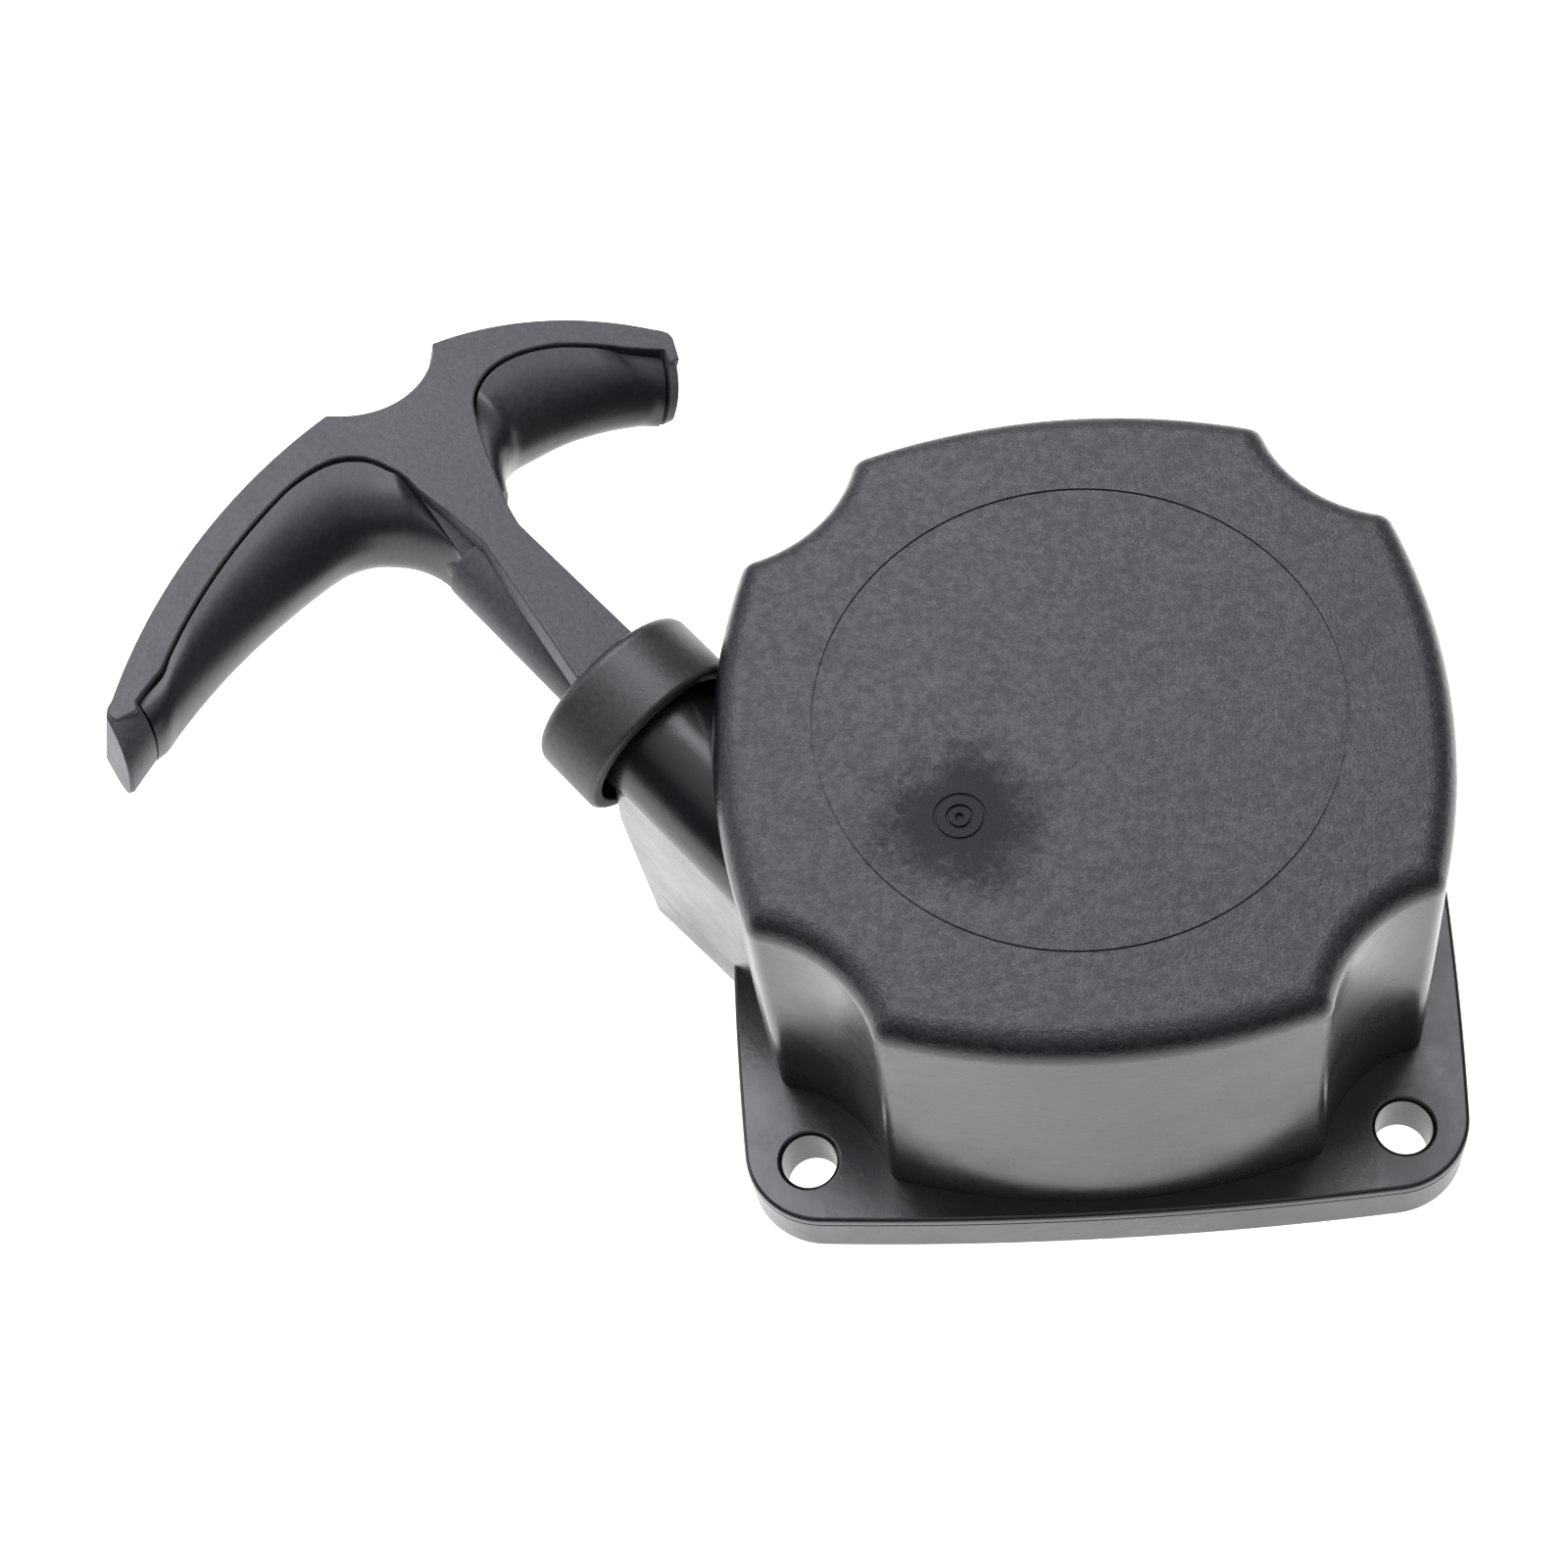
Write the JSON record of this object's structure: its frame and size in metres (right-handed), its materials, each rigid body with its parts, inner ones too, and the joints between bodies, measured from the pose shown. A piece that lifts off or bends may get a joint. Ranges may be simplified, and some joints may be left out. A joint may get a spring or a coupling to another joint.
{
  "type": "recoil starter",
  "caption": "Recoil starter: square flange, domed housing with scalloped corners, tilted rope nozzle with a T handle, and a spring-loaded rope reel with pawls inside.",
  "frame": {"origin": "centre of the four-hole bolt pattern, on the mounting face", "axes": "+Z out of the dome's top, away from the engine; X and Y along the flange's sides; the rope leaves towards -X +Y"},
  "size_m": [0.1529, 0.1065, 0.0649],
  "materials": {
    "moulded_black": "fine grained on the dome's top, smooth semi-gloss on its walls and flange",
    "handle_black": "smooth matte",
    "grip_black": "smooth satin",
    "reel_black": "satin",
    "rope": "braided polyester",
    "spring_steel": "blued strip and wire, oiled",
    "zinc_steel": "bright zinc",
    "sintered_steel": "dark, slightly grainy",
    "brass": "turned"
  },
  "bodies": {
    "base": {"housing": "moulded_black", "collar": "handle_black", "rope_bush": "zinc_steel", "rope_run": "rope", "power_spring": "spring_steel", "spring_cover": "zinc_steel", "cover_screws": "zinc_steel", "thrust_washer": "zinc_steel", "brake_spring": "spring_steel", "centre_washer": "zinc_steel", "centre_screw": "spring_steel", "screw_insert": "brass"},
    "rope_end": {"rope_lead": "rope", "handle_knot": "rope"},
    "handle": {"handle_frame": "handle_black", "grip_long": "grip_black", "grip_short": "grip_black"},
    "reel_body": {"reel": "reel_black", "rope_wound": "rope", "reel_knot": "rope", "pawl_pins": "zinc_steel"},
    "pawl_one": {"pawl_a": "sintered_steel"},
    "pawl_two": {"pawl_b": "sintered_steel"},
    "plate": {"drive_plate": "zinc_steel"}
  },
  "joints": [
    {"name": "handle_pull", "type": "slide", "parent": "base", "child": "rope_end", "axis": [-0.659, 0.7243, 0.2028], "range_m": [0, 0.48], "stiffness_N_per_m": 20, "springref_m": -0.5},
    {"name": "handle_turn", "type": "hinge", "parent": "rope_end", "child": "handle", "pos_m": [-0.05802, 0.0174, 0.04161], "axis": [-0.659, 0.7243, 0.2028], "range_deg": [-180, 180]},
    {"name": "reel_spin", "type": "hinge", "parent": "base", "child": "reel_body", "pos_m": [0, 0, 0], "axis": [0, 0, -1], "range_deg": [0, 1300]},
    {"name": "plate_lag", "type": "hinge", "parent": "reel_body", "child": "plate", "pos_m": [0, 0, 0], "axis": [0, 0, 1], "range_deg": [0, 24]},
    {"name": "pawl_one_swing", "type": "hinge", "parent": "reel_body", "child": "pawl_one", "pos_m": [0.015, 0, 0], "axis": [0, 0, 1], "range_deg": [0, 26.2]},
    {"name": "pawl_two_swing", "type": "hinge", "parent": "reel_body", "child": "pawl_two", "pos_m": [-0.015, 0, 0], "axis": [0, 0, 1], "range_deg": [0, 26.2]}
  ],
  "couplings": [
    {"joint": "reel_spin", "follows": "handle_pull", "rad_per_m": 47.2},
    {"joint": "pawl_one_swing", "follows": "plate_lag", "ratio": 1.0833},
    {"joint": "pawl_two_swing", "follows": "plate_lag", "ratio": 1.0833}
  ]
}
